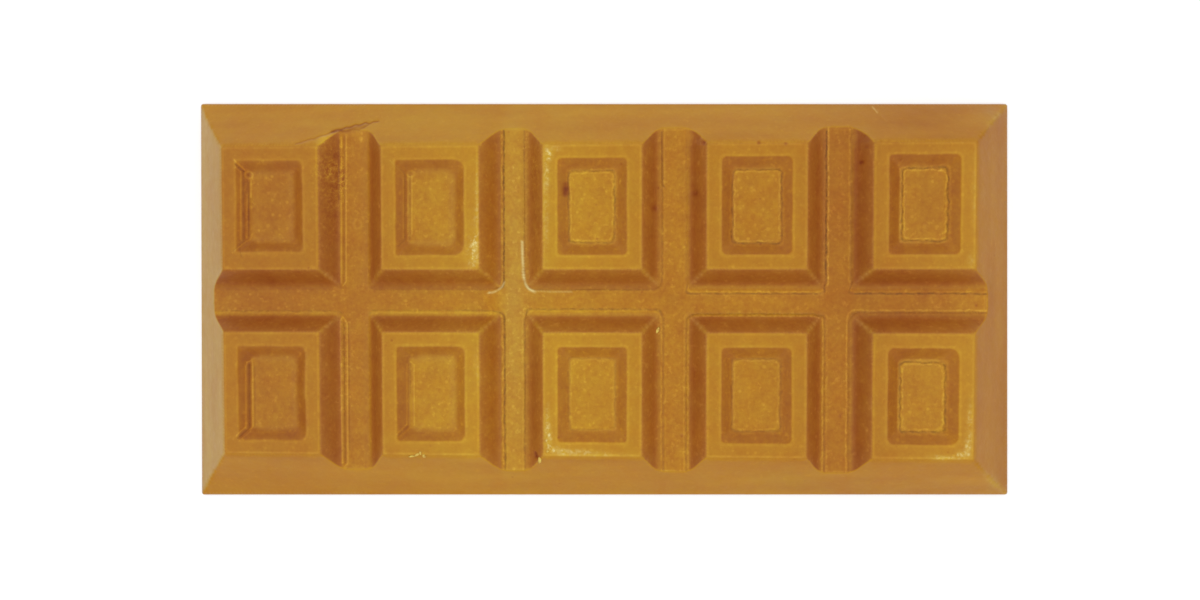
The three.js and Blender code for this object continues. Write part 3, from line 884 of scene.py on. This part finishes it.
def surface_paint(at):
    """The colour of each point of the moulded side, and what the finer marks in the material need there."""
    beyond = soft_step(at.side, 0.12)
    deeper = soft_step(side_drop(at) - groove_drop(at), 0.14) * beyond
    in_groove = (1 - deeper) * soft_step(at.groove, 0.13)
    on_floor = in_groove * soft_step(at.groove - 3.05, np.where(at.crisp, 0.2, 0.55))
    on_wall = in_groove - on_floor
    in_panel = soft_step(-at.panel, np.array(PANEL_EDGES)[at.column])
    panel_floor = in_panel * soft_step(-at.panel - 2.1 + 0.25 * at.panel_foot, 0.25 + 0.9 * at.panel_foot)
    panel_wall = in_panel - panel_floor

    paint = np.tile(RIM_PAINT, (len(at.x), 1))
    # The panel and groove walls take colours with painted shade in them
    for over, share in (
        (PANEL_WALL_PAINT_WITH_SHADE, panel_wall),
        (PANEL_FLOOR_PAINT, panel_floor),
        (GROOVE_WALL_PAINT_WITH_SHADE, on_wall),
        (GROOVE_FLOOR_PAINT, on_floor),
    ):
        paint = blend(paint, over, share)
    mitre = np.abs(np.abs(at.local_x) - BLOCK_HALF_X - (np.abs(at.local_y) - BLOCK_HALF_Y))
    # Along the block corners the groove walls' painted shade is partly lifted back towards the rim colour
    paint = blend(paint, RIM_PAINT, 0.6 * bell(mitre, 0.42) * on_wall * (at.side < 0))
    at_end = soft_step(at.past_x - at.past_y, 0.25)
    # The left slope's colour carries a painted sheen
    ends = np.where((at.x < 0)[:, None], LEFT_PAINT_WITH_SHEEN, RIGHT_PAINT)
    sides = np.where((at.y < 0)[:, None], LOWER_PAINT, UPPER_PAINT)
    paint = paint + deeper[:, None] * (sides + at_end[:, None] * (ends - sides) - paint)

    broad = broad_tone(at)
    tone = broad + deeper * (1 - broad) * 0.75
    # Painted light and shade on the groove walls: lighter near their top edge, darker low down; also a little
    # lighter on the walls facing +x
    run = np.clip(at.groove / GROOVE_RUN, 0, 1)
    tone += on_wall * (0.05 * soft_step(0.25 - run, 0.25) - 0.05 * bell(run - 0.72, 0.2))
    tone += on_wall * (0.03 * (at.local_x > 0) + 0.03 * soft_noise(at.x, at.y, 2.6, 44))
    # Painted shade on the panels' left walls: darker towards the panel floor
    down_panel = np.clip(-at.panel / PANEL_RUN, 0, 1)
    tone += panel_wall * (0.04 * soft_noise(at.x, at.y, 2.2, 45) - 0.05 * down_panel * (at.local_x < -2.5))
    on_edge = (at.side < GROOVES_END) * (at.block < 0)
    tone += 0.025 * np.exp(np.minimum(at.block, 0) / 0.9) * on_edge
    tone += 0.03 * bell(at.panel - 0.3, 0.8) * (at.panel > 0)
    tone += 0.03 * bell(at.past_x - at.past_y, 0.5) * beyond * (at.x < 0)
    # Painted shade on the shelf at the foot of the groove walls where its change is negative, and less blue
    # there against the rendered sheen
    shelf = soft_step(at.groove - 2.85, 0.3) * soft_step(0.04 - at.channel, 0.12) * (1 - deeper)
    tone += at.shelf * shelf
    paint = paint * (1 - shelf[:, None] * np.array((0.0, 0.0, 0.3)))
    # A painted highlight along the ridge where the grooves run out through the sloping sides
    tone += 0.08 * bell(side_drop(at) - groove_drop(at), 0.3) * beyond
    shade = np.ones(len(at.x))
    lighter = np.ones(len(at.x))
    # The hairlines' light and dark lines are partly painted highlight and painted shade; the crack's and
    # scratch's darkening is their own
    for lines, neutral in ((HAIRLINES, 0.75), (BLEMISH_LINES, 0.25)):
        for (change, width, _), points in lines:
            amount = change * along(at, points, width)
            lighter += np.maximum(amount, 0)
            shade += np.minimum(amount, 0) * neutral
            tone += np.minimum(amount, 0) * (1 - neutral)
    for *place, _, change in RINGS:
        lighter += change * around(at, *place)
    for x, y, radius, _, change in MARKS:
        amount = change * around(at, x, y, 0, radius)
        lighter += np.maximum(amount, 0)
        tone += np.minimum(amount, 0)
    tone += patched(at, TONE_PATCHES)
    paint = paint * np.maximum(tone, 0.2)[:, None] ** np.array(TONE_POWERS)
    paint = paint * lighter[:, None] ** np.array(LINE_POWERS) * np.maximum(shade, 0.2)[:, None]
    for *patch, green, blue in YELLOW_PATCHES:
        paint = paint * (1 + soft_patch(at, *patch)[:, None] * np.array((0.0, green, blue)))

    pale_width = 0.42 + 0.06 * np.maximum(at.side, 0) * (at.y < 0)
    pale = bell(at.past_x - at.past_y, pale_width) * beyond * (at.x > 0) * soft_step(at.side - 3.0, 3.0)
    paint = blend(paint, PALE_MITRE_PAINT, 0.65 * pale)

    worn = patched(at, WORN_PATCHES) * (1 - on_wall) * (1 - 0.85 * deeper)
    paint = blend(paint, WORN_BODY_PAINT, 0.7 * np.clip(worn, 0, 1))
    rubbed = sum(amount * along(at, line, width) for width, amount, line in WORN_LINES)
    speckled = 0.55 + 0.45 * (panel_floor + on_floor) + 0.3 * (panel_wall + on_wall)
    ends = at_end * deeper
    at_near = soft_step(-at.y - TOP_HALF_WIDTH + 0.8, 0.4)
    # Strength of the painted highlight, partly wear, along the block edges
    edge_highlight_and_wear = (at.side < GROOVES_END) * np.where(at.side > -0.5, 0.9, 1.0)
    values = {name: getattr(at, name) * (1 - deeper) for name in ("outer_line", "dark_line", "inner_line")}
    return paint, values | {
        "worn": worn,
        "rubbed": rubbed,
        "veined": patched(at, VEINED_PATCHES) * (1 - deeper),
        "speckled": speckled * (1 - deeper) + 0.3 * deeper,
        "end_slope": ends,
        "long_slope": deeper - ends,
        "edge": at.block,
        "edge_highlight_and_wear": edge_highlight_and_wear * (1 - 0.4 * beyond) * (1 + 0.4 * at_near),
        "panel": at.panel,
        "floor_line": np.where(at.line_share > 0, at.floor_line, NOWHERE),
        "line_share": at.line_share,
        "channel": at.channel,
    }


class Nodes:
    """A short way to write a material's nodes."""

    def __init__(self, name):
        self.material = bpy.data.materials.new(name)
        self.material.use_nodes = True
        self.tree = self.material.node_tree
        self.tree.nodes.clear()

    def add(self, kind, settings=None, **inputs):
        node = self.tree.nodes.new(kind)
        for key, value in (settings or {}).items():
            setattr(node, key, value)
        for key, value in inputs.items():
            self.join(value, node.inputs[key.replace("_", " ")])
        return node

    def join(self, value, socket):
        if isinstance(value, bpy.types.NodeSocket):
            self.tree.links.new(value, socket)
        else:
            socket.default_value = value

    def math(self, operation, a, b=0.0, c=0.0, clamp=False):
        node = self.add("ShaderNodeMath", {"operation": operation, "use_clamp": clamp})
        for value, socket in zip((a, b, c), node.inputs):
            self.join(value, socket)
        return node.outputs[0]

    def total(self, first, *others):
        for other in others:
            first = self.math("ADD", first, other)
        return first

    def product(self, a, b, clamp=False):
        return self.math("MULTIPLY", a, b, clamp=clamp)

    def mix(self, share, a, b, blend_type="MIX"):
        node = self.add("ShaderNodeMix", {"data_type": "RGBA", "blend_type": blend_type})
        for number, value in ((0, share), (6, a), (7, b)):
            self.join(value, node.inputs[number])
        return node.outputs[2]

    def place(self):
        return self.add("ShaderNodeTexCoord").outputs["Object"]

    def noise(self, scale, detail, roughness, seed, stretch=None):
        """Noise over the object, drawn out along the axes where the stretch is below 1."""
        place = self.place()
        if stretch:
            place = self.add("ShaderNodeMapping", None, Vector=place, Scale=stretch).outputs[0]
        node = self.add("ShaderNodeTexNoise", {"noise_dimensions": "4D"}, Vector=place, W=seed, Scale=scale,
                        Detail=detail, Roughness=roughness)
        return node.outputs["Fac"]

    def clouds(self, scale, detail, roughness, seed, *limits):
        """Noise spread between limits."""
        return self.spread(self.noise(scale, detail, roughness, seed), *limits)

    def spread(self, value, low, high, to_low=0.0, to_high=1.0):
        node = self.add("ShaderNodeMapRange", None, Value=value, From_Min=low, From_Max=high, To_Min=to_low,
                        To_Max=to_high)
        return node.outputs["Result"]

    def line(self, distance, middle, width):
        """1 along the line at one distance from an outline, falling to 0 over a width either way."""
        away = self.math("ABSOLUTE", self.math("SUBTRACT", distance, middle))
        return self.spread(away, 0.0, width, 1.0, 0.0)

    def dots(self, scale, radius, rarity):
        """Round dots in some cells of a pattern, 1 in their middles."""
        node = self.add("ShaderNodeTexVoronoi", None, Vector=self.place(), Scale=scale)
        pick = self.add("ShaderNodeSeparateColor", None, Color=node.outputs["Color"]).outputs[0]
        chosen = self.spread(pick, rarity, 1.0, 0.0, 1.6)
        return self.product(self.spread(node.outputs["Distance"], radius, radius * 0.3), chosen, clamp=True)

    def value(self, name):
        return self.add("ShaderNodeAttribute", {"attribute_name": name}).outputs["Fac"]

    def finish(self, shader):
        output = self.add("ShaderNodeOutputMaterial")
        self.tree.links.new(shader.outputs[0], output.inputs[0])
        return self.material


def toned(n, colour, tone, powers=TONE_POWERS):
    """A colour made lighter or darker by a tone, as chocolate does."""
    parts = n.add("ShaderNodeCombineColor")
    n.join(tone, parts.inputs[0])
    n.join(n.math("POWER", tone, powers[1]), parts.inputs[1])
    n.join(n.math("POWER", tone, powers[2]), parts.inputs[2])
    return n.mix(1.0, colour, parts.outputs[0], "MULTIPLY")


def fine_lines(n):
    """How much lighter and how much darker the thin lines at the blocks' edges, panels and channels are:
    painted highlight along rounded edges and fine ridges, partly wear, and painted shade in the fine creases.
    """
    light_share = n.clouds(1100, 3, 0.7, 6, 0.4, 0.58, 0.25, 1.35)
    dark_share = n.clouds(1100, 3, 0.7, 15, 0.4, 0.58, 0.25, 1.3)
    whole = n.clouds(700, 3, 0.7, 12, 0.35, 0.6, 0.35, 1.25)
    wobble = n.clouds(750, 2, 0.5, 14, 0.0, 1.0, -0.45, 0.45)
    channel = n.math("MULTIPLY_ADD", wobble, 0.6, n.value("channel"))
    floor_line = n.total(n.value("floor_line"), wobble)
    line_share = n.value("line_share")
    # Painted highlight, partly wear, along the block edges and just outside the panel edges
    edge = n.product(n.line(n.value("edge"), -0.3, 0.34), n.value("edge_highlight_and_wear"))
    light = n.product(edge, 0.12)
    light = n.math("MULTIPLY_ADD", n.line(n.value("panel"), 0.3, 0.34), 0.1, light)
    light = n.product(light, whole)
    for distance, middle, width, strength in (
        (channel, -CHANNEL_LINE_GAP, 0.26, n.value("outer_line")),
        (channel, CHANNEL_LINE_GAP, 0.26, n.value("inner_line")),
        (floor_line, 0.0, 0.28, n.product(line_share, 0.2)),
        (floor_line, 0.75, 0.3, n.product(line_share, 0.11)),
    ):
        share = n.product(n.line(distance, middle, width), light_share)
        light = n.math("MULTIPLY_ADD", share, strength, light)
    dark = 0.0
    for distance, middle, width, strength in (
        (channel, 0.0, 0.26, n.value("dark_line")),
        (floor_line, FLOOR_LINE_GAP, 0.26, n.product(line_share, 0.27)),
    ):
        share = n.product(n.line(distance, middle, width), dark_share)
        dark = n.math("MULTIPLY_ADD", share, strength, dark)
    return light, dark


def veins(n):
    """Light veins between darker blotches, where the chocolate crazed."""
    crease = n.math("ABSOLUTE", n.math("SUBTRACT", n.noise(820, 3, 0.65, 17), 0.5))
    vein = n.spread(crease, 0.0, 0.03, 0.3, 0.0)
    blotch = n.clouds(1000, 3, 0.6, 18, 0.32, 0.68, -0.2, 0.12)
    return n.product(n.total(vein, blotch), n.value("veined"))


def mottling(n):
    """Soft clouds, grain, dark dots, and the slopes' drawn-out streaks."""
    cloud = n.clouds(420, 3, 0.6, 1, 0.0, 1.0, -0.17, 0.17)
    grain = n.clouds(1500, 2, 0.5, 2, 0.0, 1.0, -0.14, 0.14)
    tone = n.product(n.total(cloud, grain), n.value("speckled"))
    for stretch, seed, slope in (((0.22, 1, 1), 7, "long_slope"), ((1, 0.16, 1), 8, "end_slope")):
        streaks = n.spread(n.noise(260, 2, 0.45, seed, stretch), 0.0, 1.0, -0.12, 0.12)
        tone = n.math("MULTIPLY_ADD", streaks, n.value(slope), tone)
    return n.math("SUBTRACT", tone, n.product(n.dots(330, 0.1, 0.8), 0.16))


def light_dots(n):
    """Pale dots and irregular flecks."""
    small_dots = n.product(n.dots(750, 0.3, 0.7), 0.16)
    large_dots = n.product(n.dots(420, 0.2, 0.7), 0.17)
    flecks = n.clouds(1050, 2, 0.55, 19, 0.58, 0.72, 0.0, 0.18)
    return n.product(n.total(small_dots, large_dots, flecks), n.value("speckled"))


def chocolate_material():
    n = Nodes("blond_chocolate")
    colour = n.add("ShaderNodeAttribute", {"attribute_name": "paint"}).outputs["Color"]
    light, dark = fine_lines(n)
    colour = toned(n, colour, n.total(mottling(n), veins(n), 1.0))
    colour = toned(n, colour, n.total(light, light_dots(n), 1.0), LINE_POWERS)
    colour = n.mix(dark, colour, (0.0, 0.0, 0.0, 1.0))
    hue = n.clouds(230, 4, 0.6, 9, 0.3, 0.7)
    colour = n.mix(1.0, colour, n.mix(hue, (1.0, 0.95, 0.9, 1.0), (1.0, 1.05, 1.1, 1.0)), "MULTIPLY")
    flecks = n.clouds(1400, 3, 0.65, 3, 0.5, 0.6, 0.0, 0.85)
    haze = n.clouds(900, 3, 0.6, 10, 0.42, 0.64, 0.0, 0.42)
    worn = n.product(n.total(flecks, haze), n.math("POWER", n.value("worn"), 1.6), clamp=True)
    rubbed = n.product(n.value("rubbed"), n.clouds(900, 2, 0.5, 16, 0.3, 0.6, 0.4, 1.0))
    worn = n.math("MAXIMUM", n.product(worn, 0.85), n.product(rubbed, 0.9, clamp=True))
    colour = n.mix(worn, colour, WORN_PAINT)
    bump = n.add("ShaderNodeBump", Strength=0.25, Distance=0.0001, Height=n.noise(1300, 5, 0.6, 4))
    shader = n.add("ShaderNodeBsdfPrincipled", Base_Color=colour, Normal=bump.outputs[0])
    n.join(n.clouds(500, 3, 0.6, 11, 0.3, 0.7, 0.38, 0.5), shader.inputs["Roughness"])
    shader.inputs["IOR"].default_value = CHOCOLATE_IOR
    return n.finish(shader)


def chocolate_bar():
    shape = BarShape()
    placed = shape.vertices.copy()
    placed[:, :2] += outline_shift(placed[:, 0], placed[:, 1])
    bar = new_mesh_object("moulded_bar", placed, shape.faces)
    add_unrolling(bar.data, shape)
    at = Places(shape.vertices[:, 0], shape.vertices[:, 1])
    paint, values = surface_paint(at)
    shows = np.arange(len(shape.vertices)) < shape.on_top
    colours = np.ones((len(shows), 4))
    colours[:, :3] = np.where(shows[:, None], paint, BACK_PAINT)
    layer = bar.data.attributes.new("paint", "FLOAT_COLOR", "POINT")
    layer.data.foreach_set("color", colours.ravel().astype(np.float32))
    for name, numbers in values.items():
        on_back = ON_BACK.get(name, 0.0)
        layer = bar.data.attributes.new(name, "FLOAT", "POINT")
        layer.data.foreach_set("value", np.where(shows, numbers, on_back).astype(np.float32))
    bar.data.materials.append(chocolate_material())
    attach(bar, "root")
    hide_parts(BAR_NODE)


def crumb_material():
    n = Nodes("crumb_chocolate")
    colour = toned(n, CRUMB_PAINT, n.clouds(2600, 3, 0.6, 5, 0.3, 0.7, 0.8, 1.15))
    shader = n.add("ShaderNodeBsdfPrincipled", Base_Color=colour)
    shader.inputs["Roughness"].default_value = 0.55
    shader.inputs["IOR"].default_value = CHOCOLATE_IOR
    return n.finish(shader)


def crumbs():
    """Loose crumbs, each a small lump that sits a little way into the surface."""
    material = crumb_material()
    polar = math.pi * np.arange(1, CRUMB_LEVELS)[:, None] / CRUMB_LEVELS
    turn = 2 * math.pi * np.arange(CRUMB_SIDES) / CRUMB_SIDES
    count = 2 + (CRUMB_LEVELS - 1) * CRUMB_SIDES
    rows = [np.zeros(CRUMB_SIDES, int), *np.arange(1, count - 1).reshape(-1, CRUMB_SIDES)]
    rows.append(np.full(CRUMB_SIDES, count - 1))
    faces = [tuple(dict.fromkeys(face)) for pair in zip(rows, rows[1:]) for face in band(*pair)]
    for number, (x, y, z, half_x, half_y, half_z, degrees) in enumerate(CRUMBS):
        lump = 1 + np.random.default_rng(60 + number).uniform(-0.18, 0.18, (CRUMB_LEVELS - 1, CRUMB_SIDES))
        out = lump * np.sin(polar)
        rings = np.stack((out * np.cos(turn), out * np.sin(turn), np.cos(polar) + 0 * out), 2)
        vertices = np.concatenate(([(0, 0, 1)], rings.reshape(-1, 3), [(0, 0, -1)]))
        spin = np.array(Matrix.Rotation(math.radians(degrees), 3, "Z"))
        placed = vertices * (half_x, half_y, half_z) @ spin.T + (x, y, z)
        crumb = new_mesh_object("crumb_" + str(number + 1), placed, faces)
        crumb.data.materials.append(material)
        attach(crumb, "root")


def floor():
    n = Nodes("pale_floor")
    shader = n.add("ShaderNodeBsdfPrincipled", Base_Color=FLOOR_PAINT, Roughness=0.7)
    corners = [(x * FLOOR_HALF, y * FLOOR_HALF, 0) for x, y in ((-1, -1), (1, -1), (1, 1), (-1, 1))]
    plane = new_mesh_object("floor", corners, [(0, 1, 2, 3)])
    plane.data.materials.append(n.finish(shader))


def lights():
    for i in range(RING_LIGHTS):
        angle = 2 * math.pi * (i + 0.5) / RING_LIGHTS
        place = Vector((RING_RADIUS * math.cos(angle), RING_RADIUS * math.sin(angle), RING_HEIGHT))
        data = bpy.data.lights.new("soft_light_" + str(i), "AREA")
        data.shape = "DISK"
        data.size = RING_LIGHT_SIZE * MM
        data.energy = RING_LIGHT_POWER
        lamp = bpy.data.objects.new(data.name, data)
        lamp.location = place * MM
        lamp.rotation_euler = (-place).to_track_quat("-Z", "Y").to_euler()
        bpy.context.scene.collection.objects.link(lamp)
    world = bpy.data.worlds.new("studio")
    world.use_nodes = True
    world.node_tree.nodes["Background"].inputs[0].default_value = (1, 1, 1, 1)
    world.node_tree.nodes["Background"].inputs[1].default_value = FILL_LIGHT
    bpy.context.scene.world = world


def camera():
    data = bpy.data.cameras.new("camera")
    data.sensor_width = SENSOR_WIDTH
    data.lens = FOCAL_PIXELS / IMAGE_WIDTH * SENSOR_WIDTH
    data.clip_start = 0.01
    data.clip_end = 10.0
    made = bpy.data.objects.new("camera", data)
    turn = Matrix.Identity(3)
    for angle, axis in zip(CAMERA_TILT, "XYZ"):
        turn = Matrix.Rotation(angle, 3, axis) @ turn
    made.matrix_world = Matrix.Translation(Vector(CAMERA_PLACE) * MM) @ turn.transposed().to_4x4()
    bpy.context.scene.collection.objects.link(made)
    bpy.context.scene.camera = made


bpy.context.scene.view_settings.view_transform = "Standard"
chocolate_bar()
crumbs()
floor()
lights()
camera()
